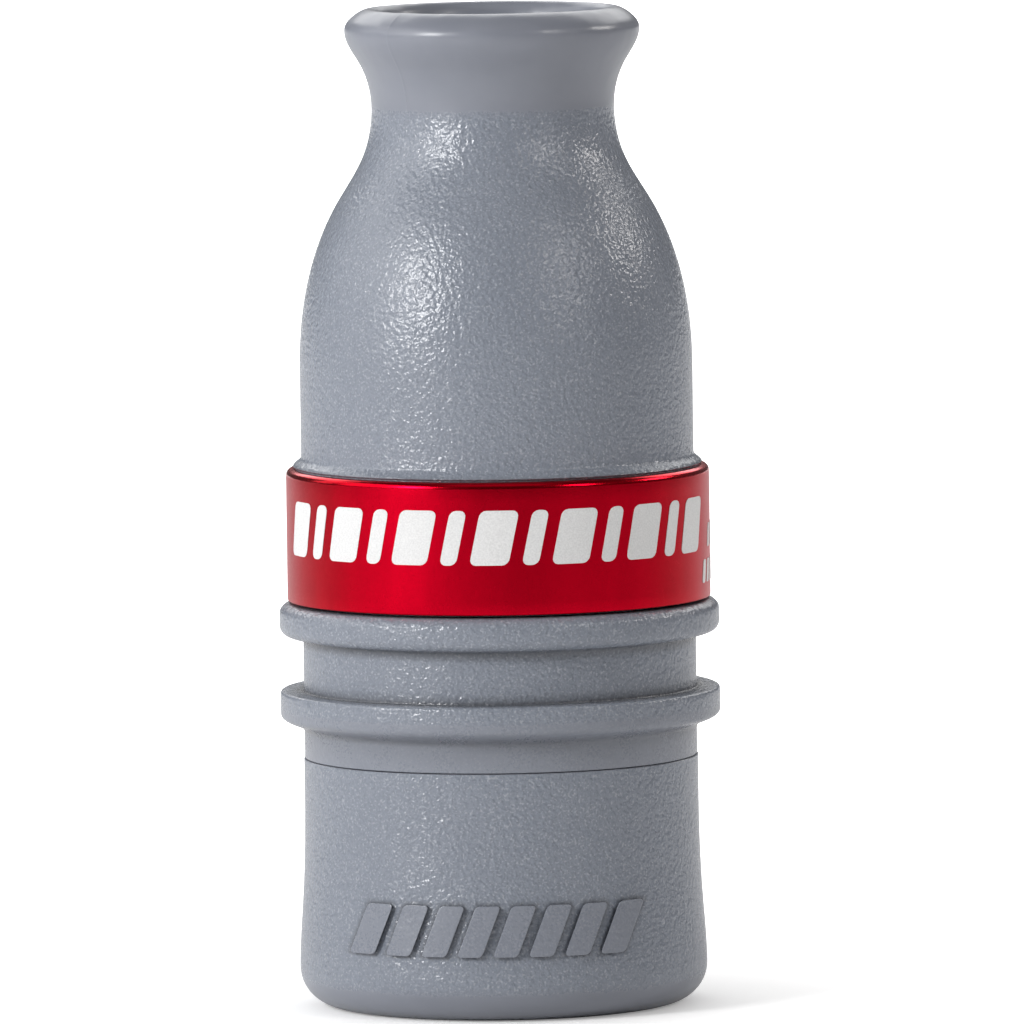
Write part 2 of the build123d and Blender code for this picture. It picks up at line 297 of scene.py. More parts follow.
class Shader:
    """A Principled material, with short ways to add and join its nodes."""

    def __init__(self, name, **values):
        self.material = bpy.data.materials.new(name)
        self.material.use_nodes = True
        self.nodes = self.material.node_tree.nodes
        self.links = self.material.node_tree.links
        self.main = self.nodes["Principled BSDF"]
        for key, value in values.items():
            self.main.inputs[key.replace("_", " ")].default_value = value
        self.place = self.nodes.new("ShaderNodeTexCoord").outputs["Object"]

    def node(self, kind, settings=None, **inputs):
        made = self.nodes.new("ShaderNode" + kind)
        for key, value in (settings or {}).items():
            setattr(made, key, value)
        for key, value in inputs.items():
            self.put(made.inputs[key.replace("_", " ")], value)
        return made

    def put(self, socket, value):
        if isinstance(value, bpy.types.NodeSocket):
            self.links.new(value, socket)
        else:
            socket.default_value = value

    def set(self, key, value):
        self.put(self.main.inputs[key], value)

    def noise(self, size, detail=2.0, roughness=0.5, stretch=(1, 1, 1)):
        """Noise whose bumps are about size wide."""
        place = self.node("Mapping", Vector=self.place, Scale=stretch).outputs[0]
        made = self.node("TexNoise", Vector=place, Scale=1 / (size * MM), Detail=detail, Roughness=roughness)
        return made.outputs[0]

    def cells(self, size):
        """Cells about size wide: the distance from each one's middle."""
        return self.node("TexVoronoi", Vector=self.place, Scale=1 / (size * MM)).outputs[0]

    def calculate(self, operation, a, b):
        made = self.node("Math", {"operation": operation})
        self.put(made.inputs[0], a)
        self.put(made.inputs[1], b)
        return made.outputs[0]

    def span(self, value, low, high, to_low=0.0, to_high=1.0):
        """value, from the range low to high onto another range, and held at its ends."""
        made = self.node("MapRange", Value=value)
        for key, number in (("From Min", low), ("From Max", high), ("To Min", to_low), ("To Max", to_high)):
            self.put(made.inputs[key], number)
        return made.outputs[0]

    def vary(self, noise, low, high):
        """A value between low and high that follows a noise, which mostly keeps within 0.3 and 0.7."""
        return self.span(noise, 0.3, 0.7, low, high)

    def mix(self, factor, a, b):
        made = self.node("Mix", {"data_type": "RGBA"})
        self.put(made.inputs["Factor"], factor)
        self.put(made.inputs["A"], a)
        self.put(made.inputs["B"], b)
        return made.outputs["Result"]

    def level(self, name):
        return self.node("Attribute", {"attribute_name": name}).outputs["Fac"]

    def bump(self, height, depth, strength=1.0, normal=None):
        """A bump that is depth high where height is 1."""
        made = self.node("Bump", Height=height, Distance=depth * MM, Strength=strength)
        if normal is not None:
            self.put(made.inputs["Normal"], normal)
        return made.outputs[0]


def grey(level):
    return (level, level, level, 1)


def shell_material():
    """Blue-grey moulded plastic.

    The level "grain" is how deep the grain of the spark-eroded mould is, "flow" how wavy the plain
    plastic is, and the painted-shade level how dark the colour is painted where shadow falls in corners and
    under edges.
    """
    s = Shader("shell_plastic", Specular_IOR_Level=0.55)
    grain = s.level("grain")
    crumbs = s.noise(0.36, detail=1.0)
    fine = s.noise(0.20, detail=1.0)
    drift = s.noise(3.0)
    speck = s.span(fine, 0.35, 0.65)
    dark = s.mix(drift, (0.191, 0.213, 0.255, 1), (0.208, 0.229, 0.271, 1))
    light = s.mix(drift, (0.221, 0.243, 0.287, 1), (0.237, 0.259, 0.303, 1))
    flecks = s.span(s.noise(0.17, detail=0.0), 0.60, 0.74, 0.0, 0.48)
    textured = s.mix(flecks, s.mix(speck, dark, light), (0.40, 0.42, 0.46, 1))
    plain = s.mix(drift, (0.208, 0.221, 0.260, 1), (0.228, 0.241, 0.280, 1))
    clean = s.mix(grain, plain, textured)
    # Painted shade: a near-black grey mixed into the colour by the painted-shade level, standing in for the
    # shadow in corners and under edges
    s.set("Base Color", s.mix(s.level("painted_shade"), clean, (0.075, 0.078, 0.088, 1)))
    s.set("Roughness", s.span(grain, 0, 1, s.vary(drift, 0.28, 0.33), s.vary(fine, 0.21, 0.265)))
    waves = s.bump(s.noise(2.2, detail=1.0), 0.12, s.level("flow"))
    s.set("Normal", s.bump(crumbs, 0.115, grain, waves))
    return s.material


def band_material(name, rough, colour):
    """Red anodised aluminium with a fine grain."""
    s = Shader(name, Metallic=1.0)
    fine = s.noise(0.09, detail=1.0)
    drift = s.noise(2.4, stretch=(1, 1, 0.35))
    spread = 0.12
    darker = tuple((1 - spread) * c for c in colour[:3]) + (1,)
    s.set("Base Color", s.mix(s.vary(drift, 0, 1), darker, colour))
    s.set("Roughness", s.vary(fine, rough * (1 - spread), rough * (1 + spread)))
    s.set("Normal", s.bump(fine, 0.004))
    return s.material


def print_material():
    """White pad-printed ink."""
    s = Shader("white_ink", Specular_IOR_Level=0.4)
    fine = s.noise(0.12)
    s.set("Base Color", s.mix(s.vary(fine, 0, 1), grey(0.66), grey(0.78)))
    s.set("Roughness", s.vary(fine, 0.45, 0.6))
    s.set("Normal", s.bump(fine, 0.004, 0.6))
    return s.material


def rubber_material():
    """Black moulded rubber with a little bloom."""
    s = Shader("ring_rubber", Specular_IOR_Level=0.35)
    bloom = s.noise(0.8, detail=4.0)
    fine = s.noise(0.07)
    s.set("Base Color", s.mix(s.span(bloom, 0.35, 0.7), grey(0.012), grey(0.035)))
    s.set("Roughness", s.vary(bloom, 0.42, 0.62))
    s.set("Normal", s.bump(fine, 0.006, 0.6))
    return s.material


def board_material():
    """Off-white moulded plastic of the tone board."""
    s = Shader("board_plastic", Subsurface_Weight=0.12, Subsurface_Scale=0.0008)
    drift = s.noise(2.2, detail=3.0)
    fine = s.noise(0.12)
    s.set("Base Color", s.mix(drift, (0.68, 0.65, 0.55, 1), (0.80, 0.77, 0.68, 1)))
    s.set("Roughness", s.vary(fine, 0.30, 0.42))
    s.set("Normal", s.bump(fine, 0.006, 0.7))
    return s.material


def reed_material():
    """Rolled brass strip with fine lines along it and a faint tarnish."""
    s = Shader("reed_brass", Metallic=1.0)
    lines = s.noise(0.06, stretch=(1, 1, 0.03))
    tarnish = s.noise(1.8, detail=4.0)
    bright = s.mix(lines, (0.72, 0.50, 0.20, 1), (0.84, 0.63, 0.30, 1))
    s.set("Base Color", s.mix(s.span(tarnish, 0.5, 0.8, 0, 0.5), bright, (0.42, 0.27, 0.12, 1)))
    s.set("Roughness", s.span(tarnish, 0.3, 0.8, 0.22, 0.38))
    s.set("Normal", s.bump(lines, 0.004, 0.8))
    return s.material


def cork_material():
    """Cut cork: warm granules, dark pores and a rough face."""
    s = Shader("wedge_cork", Specular_IOR_Level=0.2)
    granules = s.cells(0.9)
    pores = s.noise(0.35, detail=4.0, roughness=0.7)
    warm = s.mix(granules, (0.52, 0.33, 0.16, 1), (0.36, 0.21, 0.09, 1))
    s.set("Base Color", s.mix(s.span(pores, 0.60, 0.68), warm, (0.10, 0.05, 0.025, 1)))
    s.set("Roughness", s.vary(pores, 0.75, 0.95))
    height = s.calculate("SUBTRACT", s.calculate("MULTIPLY", granules, 0.4), s.span(pores, 0.58, 0.7))
    s.set("Normal", s.bump(height, 0.06, 0.8))
    return s.material


SHELL = shell_material()
BAND_FACE = band_material("band_satin", 0.31, (0.565, 0.001, 0.015, 1))
BAND_EDGE = band_material("band_polished", 0.20, (0.60, 0.001, 0.014, 1))
INK = print_material()
RUBBER = rubber_material()
BOARD = board_material()
REED = reed_material()
CORK = cork_material()


def paint(obj, *materials):
    """Gives the object these materials and no others."""
    obj.data.materials.clear()
    for material in materials:
        obj.data.materials.append(material)


def finish_piece(obj, body, slot, *nodes):
    """Puts the piece on its body and hides the CAD nodes that it stands for."""
    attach(obj, body)
    if nodes:
        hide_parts(*nodes)


# ---------------------------------------------------------------- barrel

# The barrel's bores from the bottom up, and its outside from the belly to the neck
SOCKET_R, CAVITY_R, NECK_BORE_R = 13.15, 12.85, 7.25
CAVITY_LOW, CAVITY_TOP = 43.5, 48.0
BELLY_R, NECK_R = 15.17, 9.37
BELLY_LOW, BELLY_TOP, NECK_Z = 42.6, 49.5, 69.4
SHOULDER = smooth(
    [(BELLY_R, BELLY_TOP), (14.13, 57.35), (12.17, 62.0), (10.06, 65.7), (NECK_R, NECK_Z)], UP, UP, 44)
GRAIN_TOP, GRAIN_FADE = 69.6, 0.35

# The ridges of the mould's parting lines: where they are, how high, and half their width as an angle
PARTING_ANGLES = (math.radians(-44.5), math.radians(135.5))
PARTING_H = 0.03
PARTING_STEP = 0.01


def barrel_angles():
    """Even steps round the barrel, with close ones at the mould's two parting lines."""
    angles = even_angles(240)
    for middle in PARTING_ANGLES:
        angles = [a for a in angles if angle_between(a, middle) > 2.5 * PARTING_STEP]
        angles += [(middle + k * PARTING_STEP) % TURN for k in (-2, -1, 0, 1, 2)]
    return sorted(angles)


def parting_ridge(r, z, angle):
    """How far the faint ridge of the mould's two halves stands out, on the outside of the neck and lip."""
    flaring_bore = NECK_BORE_R + 0.05 + 0.3 * (z - NECK_Z)
    if z < NECK_Z - 3 or r < NECK_R - 0.3 or r < flaring_bore:
        return 0
    off = min(angle_between(angle, middle) for middle in PARTING_ANGLES)
    return PARTING_H * near(off, 0, PARTING_STEP)


def barrel_outline():
    """Up the neck and over the lip, down the bore, the cavity and the socket, and up the outside."""
    neck = (NECK_R, NECK_Z)
    lip, lip_bore = (11.39, 75.4), (8.6, 75.4)
    bore_top, bore_low = (NECK_BORE_R, 69.8), (NECK_BORE_R, 68.6)
    cavity_top = (CAVITY_R, CAVITY_TOP)
    socket_top = CAVITY_LOW - 0.3
    lead_in, corner = 0.5, 0.1
    seat_r = BAND_BORE_R - 0.02
    foot_r, foot_low = 15.8, BAND_HIGH.z + corner
    foot = (foot_r, foot_low + corner)
    belly_low, belly_top = (BELLY_R, BELLY_LOW), (BELLY_R, BELLY_TOP)
    return joined(
        smooth([neck, (10.25, 72.85), lip], UP, UP, 22),
        smooth([lip, (10.7, 76.5), (9.3, HEIGHT), lip_bore], UP, DOWN, 24),
        smooth([lip_bore, bore_top], DOWN, DOWN, 12),
        run(bore_top, bore_low, 2),
        smooth([bore_low, (9.55, 61.9), cavity_top], DOWN, DOWN, 20),
        rounded([cavity_top, (CAVITY_R, CAVITY_LOW), (SOCKET_R, socket_top),
                 (SOCKET_R, BARREL_LOW + lead_in), (SOCKET_R + lead_in, BARREL_LOW),
                 (seat_r, BARREL_LOW), (seat_r, foot_low), (foot_r - corner, foot_low), foot], 0.08),
        smooth([foot, belly_low], (-0.4, 1), UP, 8),
        run(belly_low, belly_top, 6),
        SHOULDER,
    )


def barrel_grain(x, y, z):
    """Grain on the outside from the foot up to the neck, none on the lip or inside."""
    r = math.hypot(x, y)
    in_socket = r < SOCKET_R + 0.05 and z < CAVITY_TOP
    in_bore = r < NECK_BORE_R + 0.05
    in_cavity = z < NECK_Z + 0.6 and r < radius_at(z, SHOULDER) - 0.5
    if in_socket or in_bore or in_cavity or z < BAND_HIGH.z:
        return 0.0
    return min(1.0, max(0.0, (GRAIN_TOP - z) / GRAIN_FADE))


def barrel_flow(x, y, z):
    """The lip's waviness, which fades out down the neck."""
    return min(1.0, max(0.0, (z - NECK_Z) / (HEIGHT - NECK_Z)))


def barrel_painted_shade(x, y, z):
    """Painted shade in the corner above the band."""
    if math.hypot(x, y) <= BAND_BORE_R:
        return 0.0
    return 0.5 * near(z, BAND_HIGH.z, 0.5)


def make_barrel():
    """The bottle-shaped shell, its lip plain and its shoulder and belly grained."""
    obj = turned("barrel_shell", barrel_outline(), barrel_angles(), parting_ridge)
    set_levels(obj, "grain", barrel_grain)
    set_levels(obj, "flow", barrel_flow)
    set_levels(obj, "painted_shade", barrel_painted_shade)
    paint(obj, SHELL)
    finish_piece(obj, "barrel", "textured_shell", "barrel")


# ---------------------------------------------------------------- band and its print

def make_band():
    """The metal ring, satin round the side and polished on its round top edge."""
    low, high = BAND_LOW.z, BAND_HIGH.z
    edge = 0.5
    face_low, face_high = (BAND_R, low + 1.0), (BAND_R, high - edge)
    outline = joined(
        arc((BAND_R - edge, high - edge), edge, 0, SQUARE_ANGLE, 9),
        rounded([(BAND_R - edge, high), (BAND_BORE_R, high), (BAND_BORE_R, low), (BAND_R, low), face_low],
                0.15),
        run(face_low, face_high, 8),
    )
    obj = turned("band_ring", outline, even_angles(320))
    paint(obj, BAND_FACE, BAND_EDGE)
    for face in obj.data.polygons:
        if face.center.z / MM > high - edge:
            face.material_index = 1
    finish_piece(obj, "barrel", "band", "band")


# The ink stands this far out of the band and reaches this far into it
INK_T, INK_SUNK = 0.03, 0.01
INK_SLANT = math.tan(math.radians(12))


def slanted_pad(width, low, high, corner, slant, place):
    """Points and faces of a thin slanted bar with rounded corners.

    It has an inner skin, layer 0, and an outer one, layer 1. place(side, height, layer) gives their points.
    """
    up, across = 16, 14
    heights = [low + (high - low) * (1 - math.cos(math.pi * j / up)) / 2 for j in range(up + 1)]
    points, faces = [], []
    for layer in (0, 1):
        for z in heights:
            close = max(0.0, corner - min(z - low, high - z))
            half = width / 2 - corner + math.sqrt(max(0.0, corner**2 - close**2))
            lean = slant * (z - (low + high) / 2)
            for k in range(across + 1):
                points.append(place(lean + half * (2 * k / across - 1), z, layer))
    row = across + 1
    sheet = row * (up + 1)
    for j in range(up):
        for a in range(j * row, j * row + across):
            faces.append((a, a + row, a + row + 1, a + 1))
            faces.append((sheet + a, sheet + a + 1, sheet + a + row + 1, sheet + a + row))
    edge = list(range(row))
    edge += [j * row + across for j in range(1, up + 1)]
    edge += [up * row + k for k in range(across - 1, -1, -1)]
    edge += [j * row for j in range(up - 1, 0, -1)]
    for a, b in zip(edge, edge[1:] + edge[:1]):
        faces.append((a, b, sheet + b, sheet + a))
    return points, faces


def ink_bar(middle, width, low, high, corner):
    """Points and faces of one bar of ink lying on the band. middle is its angle from the front."""
    def place(side, z, layer):
        angle = middle + side / BAND_R
        radius = BAND_R + (INK_T if layer else -INK_SUNK)
        return (radius * math.sin(angle), -radius * math.cos(angle), z)
    return slanted_pad(width, low, high, corner, INK_SLANT, place)


def bar_row(first_deg, widths, gap, low, high, corner):
    """A row of slanted bars side by side on the band, each as what ink_bar takes."""
    angle = math.radians(first_deg)
    bars = []
    for width in widths:
        bars.append((angle + width / 2 / BAND_R, width, low, high, corner))
        angle += (width + gap) / BAND_R
    return bars


def make_print():
    """A plain row of slanted bars, wide and narrow by turns, and two short rows of small ones beside it."""
    wide, narrow, small = 3.0, 1.3, 0.8
    bars = bar_row(-73.2, [wide, narrow] * 6 + [wide], gap=1.03, low=35.3, high=39.5, corner=0.5)
    bars += bar_row(80.0, [small] * 14, gap=0.5, low=35.4, high=37.2, corner=0.25)
    bars += bar_row(74.0, [small] * 18, gap=0.5, low=32.7, high=34.5, corner=0.25)
    points, faces = [], []
    for bar in bars:
        more, sides = ink_bar(*bar)
        faces += [tuple(v + len(points) for v in side) for side in sides]
        points += more
    obj = new_object("band_print", points, faces)
    paint(obj, INK)
    finish_piece(obj, "barrel", "band")


# ---------------------------------------------------------------- insert

HUB_R, TENON_BORE_R = 8.3, 10.6
SEAL_HEIGHTS = (38.7, 34.9)


def insert_outline():
    """Up the hub's bore, down the tenon, the ribs and the skirt to the seam, and back up inside."""
    hub_bore, hub_low = 6.32, 33.0
    tenon_r, tenon_edge = 12.95, 0.6
    tenon = [(hub_bore, hub_low), (hub_bore, TENON_TOP), (tenon_r - tenon_edge, TENON_TOP),
             (tenon_r, TENON_TOP - tenon_edge)]
    seal_r, seal_half = 11.7, 1.1
    for z in SEAL_HEIGHTS:
        tenon += [(tenon_r, z + seal_half), (seal_r, z + seal_half), (seal_r, z - seal_half),
                  (tenon_r, z - seal_half)]
    tenon.append((tenon_r, LAND_Z))

    # The upper rib, the lanyard groove and the lower rib
    land, groove_r = (COLLAR_R, LAND_Z), 15.19
    upper_low, upper_bend = 28.7, 0.23
    upper_top, upper_side = (RIB_R, 30.46), (RIB_R, 29.5)
    upper_under = (16.2, upper_low)
    lower_high = 24.45
    groove_top, groove_low = (groove_r, 28.3), (groove_r, lower_high + 0.3)
    lower_over = (16.3, lower_high)
    lower_top, lower_side = (RIB_R, lower_high - 0.7), (RIB_R, 22.65)

    # The skirt's edge at the seam, and the chamber inside
    body_r, body_edge = 15.18, 0.05
    skirt = (body_r, SKIRT_TOP)
    chamber_r = 13.25
    disc_low = TENON_TOP - 2.0
    inside = [(body_r, SEAM_Z + body_edge), (body_r - body_edge, SEAM_Z), (chamber_r, SEAM_Z)]
    inside += [(chamber_r + depth, z) for depth, z in SNAP_GROOVE]
    inside += [(chamber_r, 28.6), (TENON_BORE_R, 29.8), (TENON_BORE_R, disc_low), (HUB_R, disc_low),
               (HUB_R, hub_low), (hub_bore, hub_low)]
    return joined(
        rounded(tenon + [land], 0.12, 2),
        smooth([land, upper_top], (1, -0.15), DOWN, 7),
        run(upper_top, upper_side, 3),
        smooth([upper_side, (RIB_R - upper_bend, upper_low + upper_bend), upper_under], DOWN, INWARDS, 7),
        smooth([upper_under, (groove_r + 0.4, upper_low), groove_top], INWARDS, DOWN, 7),
        run(groove_top, groove_low, 6),
        rounded([groove_low, (groove_r, lower_high), lower_over], 0.15),
        rounded([lower_over, (RIB_R, lower_high), lower_top], 0.3),
        run(lower_top, lower_side, 3),
        smooth([lower_side, skirt], DOWN, DOWN, 12),
        rounded([skirt] + inside, 0.1, 2),
    )


def insert_grain(x, y, z):
    """Grain on the ribs and in the lanyard groove, little above the seam, none on the tenon or inside."""
    if math.hypot(x, y) < OUTSIDE_R + 0.1 or z > LAND_Z:
        return 0.0
    strip_top, fade = 22.9, 0.4
    return min(1.0, max(PLAIN_GRAIN, (z - strip_top) / fade))


def insert_painted_shade(x, y, z):
    """Painted shade under the band, in the lanyard groove's two corners and under the lower rib."""
    r = math.hypot(x, y)
    if r < OUTSIDE_R:
        return 0.0
    if z > 30.9:
        return 0.9 * near(r, COLLAR_R, 0.3)
    groove_top = near(z, 28.45, 0.55) if r < 16.0 else 0.0
    groove_low = near(z, 24.5, 0.45) if r < 15.6 else 0.0
    return max(0.75 * groove_top, 0.85 * groove_low, 0.5 * near(z, 21.5, 0.55))


def make_insert():
    """The ribbed collar and its tenon, with four gussets between the hub and the tenon's wall."""
    obj = turned("insert_shell", insert_outline(), even_angles(288))
    root = 0.3
    start, end, half = HUB_R - root, TENON_BORE_R + root, 0.6
    for k in range(4):
        corners = [(start, -half), (end, -half), (end, half), (start, half)]
        gusset = prism("gusset", corners, ALONG_Z, 36.0, TENON_TOP - 1.7)
        gusset.data.transform(Matrix.Rotation(math.radians(45 + 90 * k), 4, "Z"))
        combine(obj, gusset, "UNION")
    shade(obj)
    set_levels(obj, "grain", insert_grain)
    set_levels(obj, "painted_shade", insert_painted_shade)
    paint(obj, SHELL)
    finish_piece(obj, "insert", "textured_shell", "insert")


def make_tenon_rings():
    """Two rubber rings, squeezed squarish, with a faint moulding line round the outside."""
    bore_r, line = 11.76, 0.02
    for name in ("tenon_o_ring_lower", "tenon_o_ring_upper"):
        low, high = (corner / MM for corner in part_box(name))
        middle = (low.z + high.z) / 2
        half_r, half_z = (high.x - bore_r) / 2, (high.z - low.z) / 2
        outline = []
        for k, angle in enumerate(even_angles(40)):
            across, along = squared(angle, 3.2)
            proud = line if k == 0 else 0
            outline.append((bore_r + half_r + (half_r - line) * across + proud, middle + half_z * along))
        obj = turned(name.replace("tenon_o_ring", "rubber_ring"), outline, even_angles(200))
        paint(obj, RUBBER)
        finish_piece(obj, "seals", "seal", name)


# ---------------------------------------------------------------- end shell

# The raised bars on the front, side by side round x = BARS_X
BARS = 8
BAR_PITCH = 2.75
BARS_X = -0.5
BAR_W = 1.9
BAR_LOW, BAR_TOP = 5.2, 9.1
BAR_MIDDLE = (BAR_LOW + BAR_TOP) / 2
BAR_SLANT = 1.5 / (BAR_TOP - BAR_LOW)
BAR_PROUD = 0.45

END_CORNER = 3.0
END_RING_R = 12.76
END_FOOT = (END_RING_R + END_CORNER, END_CORNER)
END_SIDE = smooth([(15.24, SEAM_Z - 0.12), (15.26, 14.0), (15.47, 8.4), END_FOOT], DOWN, DOWN, 60)


def side_radius(z):
    """The end shell's outer radius at a height."""
    return radius_at(z, END_SIDE[::-1])


def end_outline():
    """Down the side and round the bottom, through the sound hole, and up inside the spigot to the seam."""
    edge_z = SEAM_Z - 0.06
    floor_t = 2.4
    bore_r, hole_r = 12.2, 9.5
    spigot_r, spigot_top = 13.2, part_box("end_shell")[1].z / MM
    rim = (OUTSIDE_R, edge_z)
    turn = arc((END_RING_R, END_CORNER), END_CORNER, 0, -SQUARE_ANGLE, 15)
    inside = [(END_RING_R, 0), (hole_r, 0), (hole_r, floor_t), (bore_r, floor_t), (bore_r, spigot_top),
              (spigot_r, spigot_top)]
    inside += [(spigot_r + depth, z) for depth, z in reversed(SNAP_GROOVE)]
    inside += [(spigot_r, edge_z), rim]
    return joined([(15.18, edge_z)], END_SIDE, turn, rounded(inside, 0.4), [rim])


def bar_x(k):
    """Where the middle of a raised bar is, from the left."""
    return BARS_X + (k - (BARS - 1) / 2) * BAR_PITCH


def raised_bar(x):
    """One raised bar on the front, rooted in the shell."""
    root = 0.5

    def place(side, z, layer):
        radius = side_radius(z) + (BAR_PROUD if layer else -root)
        return (x + side, -math.sqrt(radius**2 - (x + side) ** 2), z)
    obj = new_object("raised_bar", *slanted_pad(BAR_W, BAR_LOW, BAR_TOP, 0.3, BAR_SLANT, place))
    soften(obj, 0.07, 50)
    return obj


def beside_bars(x, y, z):
    """0 on a raised bar's top, and how near the foot of a bar's walls a point of the shell is, up to 1."""
    if math.hypot(x, y) - side_radius(z) > 0.6 * BAR_PROUD:
        return 0.0
    across = x - BARS_X - BAR_SLANT * (z - BAR_MIDDLE)
    nearest = min(BARS - 1, max(0, round(across / BAR_PITCH + (BARS - 1) / 2)))
    off_x = abs(across - (nearest - (BARS - 1) / 2) * BAR_PITCH) - BAR_W / 2
    off_z = abs(z - BAR_MIDDLE) - (BAR_TOP - BAR_LOW) / 2
    return near(math.hypot(max(off_x, 0), max(off_z, 0)), 0, 0.25)


def end_grain(x, y, z):
    """Grain on the side, little on the bars' tops, none on the bottom's round or inside."""
    r = math.hypot(x, y)
    if r < OUTSIDE_R or z > SEAM_Z - 0.08:
        return 0.0
    on_bars = y < 0 and BAR_LOW - 0.1 < z < BAR_TOP + 0.1
    if on_bars and r > side_radius(z) + 0.1:
        return PLAIN_GRAIN
    round_top, fade = 1.9, 0.8
    return min(1.0, max(0.0, (z - round_top) / fade))


def end_painted_shade(x, y, z):
    """Painted shade round the feet of the raised bars and under the bottom's round."""
    r, ring_inside = math.hypot(x, y), 12.0
    if r < ring_inside:
        return 0.0
    at_bars = y < 0 and r > OUTSIDE_R and BAR_LOW - 0.3 < z < BAR_TOP + 0.3
    shaded_feet = 0.6 * beside_bars(x, y, z) if at_bars else 0.0
    return max(shaded_feet, 0.5 * near(z, 0, 0.7))


def make_end_shell():
    """The lower shell with the raised bars on its front."""
    obj = turned("end_shell_body", end_outline(), even_angles(288))
    for k in range(BARS):
        combine(obj, raised_bar(bar_x(k)), "UNION")
    shade(obj)
    set_levels(obj, "grain", end_grain)
    set_levels(obj, "painted_shade", end_painted_shade)
    paint(obj, SHELL)
    finish_piece(obj, "insert", "textured_shell", "end_shell")


# ---------------------------------------------------------------- reed parts

def channel_cutter(low, base_top, top):
    """What the tone channel takes away: a round hole in the board's foot and a round-ended trough above."""
    radius, centre, front = 2.3, 0.9, -1.0
    change, tip_steps = 0.05, 9
    hole, trough = [], []
    for a in even_angles(48):
        c, s = math.cos(a), math.sin(a)
        square = max(abs(c), abs(s))
        hole.append((radius * c, centre + radius * s))
        if s >= 0:
            trough.append(hole[-1])
        else:
            trough.append((radius * c / square, centre + (centre - front) * s / square))
    sections = [[(x, y, z) for x, y in hole] for z in (low, base_top + change)]
    sections += [[(x, y, z) for x, y in trough] for z in (base_top + 2 * change, top - radius)]
    for k in range(1, tip_steps):
        a = SQUARE_ANGLE * k / tip_steps
        shrink, z = math.cos(a), top - radius + radius * math.sin(a)
        lower = [(x * shrink, centre + (y - centre) * shrink if y > centre else y) for x, y in trough]
        sections.append([(x, y, z) for x, y in lower])
    return loft("channel_cut", sections)


# The tone board's foot and the wedge beside it have the same radius
FOOT_R = 6.3


def make_tone_board():
    """Board with a round foot and a flange, half-round above them, its face falling away to the tip."""
    low, high = (corner.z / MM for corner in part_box("tone_board"))
    flange_r, board_r = 7.6, 5.9
    foot_top, flange_low, flange_top, step_z = 36.4, TENON_TOP, TENON_TOP + 1.0, 46.4
    steps = [(FOOT_R, low), (FOOT_R, flange_low), (flange_r, flange_low), (flange_r, flange_top),
             (FOOT_R, flange_top), (FOOT_R, step_z), (board_r, step_z), (board_r, high)]
    # Half a step of turn keeps every corner off the plane of the front cut
    corners = 96
    around = [a + TURN / corners / 2 for a in even_angles(corners)]
    sections = [[(r * math.cos(a), r * math.sin(a), z) for a in around] for r, z in steps]
    obj = loft("tone_board_body", sections)

    away, above, fall = 9.0, high + 1, 0.45
    front = [(-away, foot_top), (0.0, foot_top), (0.0, step_z + 0.05), (fall, above), (-away, above)]
    combine(obj, prism("front_cut", front, ALONG_X, -away, away), "DIFFERENCE")
    tip = 3.0
    round_tip = arc((board_r - tip, high - tip), tip, SQUARE_ANGLE, 0, 12)
    round_tip += [(away, high - tip), (away, above), (board_r - tip, above)]
    for side in (-1, 1):
        outer = [(side * x, z) for x, z in round_tip]
        combine(obj, prism("tip_cut", outer, ALONG_Y, -3, away), "DIFFERENCE")
    combine(obj, channel_cutter(low - 1, foot_top, 59.0), "DIFFERENCE")
    soften(obj, 0.12)
    paint(obj, BOARD)
    finish_piece(obj, "insert", "board", "tone_board")


def make_reed():
    """Brass strip with a round tip and softened edges, kept a hair clear of the board."""
    low, high = (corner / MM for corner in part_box("reed"))
    half = high.x
    room = 0.01
    outline = [(-half, low.z), (half, low.z)] + arc((0, high.z - half), half, 0, math.pi, 40)
    obj = prism("reed_strip", outline, ALONG_Y, low.y, high.y - room)
    soften(obj, 0.06)
    paint(obj, REED)
    finish_piece(obj, "reed", "reed", "reed")


def make_wedge():
    """Half-round cork wedge, with a slot over the reed's clamped end and a top that slopes to the front."""
    low, high = (corner.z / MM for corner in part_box("reed_wedge"))
    face_y, above = 0.02, high + 1
    edge = math.asin(face_y / FOOT_R)
    section = arc((0, 0), FOOT_R, -math.pi - edge, edge, 49)
    obj = prism("cork_wedge", section, ALONG_Z, low, high)

    slot_low, slot_half = 40.7, 4.4
    slot = [(1, slot_low), (-0.56, slot_low), (-0.42, above), (1, above)]
    combine(obj, prism("slot_cut", slot, ALONG_X, -slot_half, slot_half), "DIFFERENCE")
    slope_y, slope_drop, away = -2.2, 2.4, 9
    slope = [(slope_y, high), (-7, high - slope_drop), (-7, above), (slope_y, above)]
    combine(obj, prism("slope_cut", slope, ALONG_X, -away, away), "DIFFERENCE")
    soften(obj, 0.15)
    paint(obj, CORK)
    finish_piece(obj, "insert", "cork", "reed_wedge")


def ring_path(radius, front, turn):
    """A D round the tone board and the reed: an arc behind, a straight in front, and small turns between."""
    start = math.asin((front + turn) / (radius - turn))
    corner = math.sqrt((radius - turn) ** 2 - (front + turn) ** 2)
    path = arc((0, 0), radius, start, math.pi - start, 60)
    path += arc((-corner, front + turn), turn, math.pi - start, 1.5 * math.pi, 12)[1:]
    path += [(x, front) for x in np.linspace(-corner, corner, 12)[1:]]
    path += arc((corner, front + turn), turn, 1.5 * math.pi, TURN + start, 12)[1:-1]
    return path


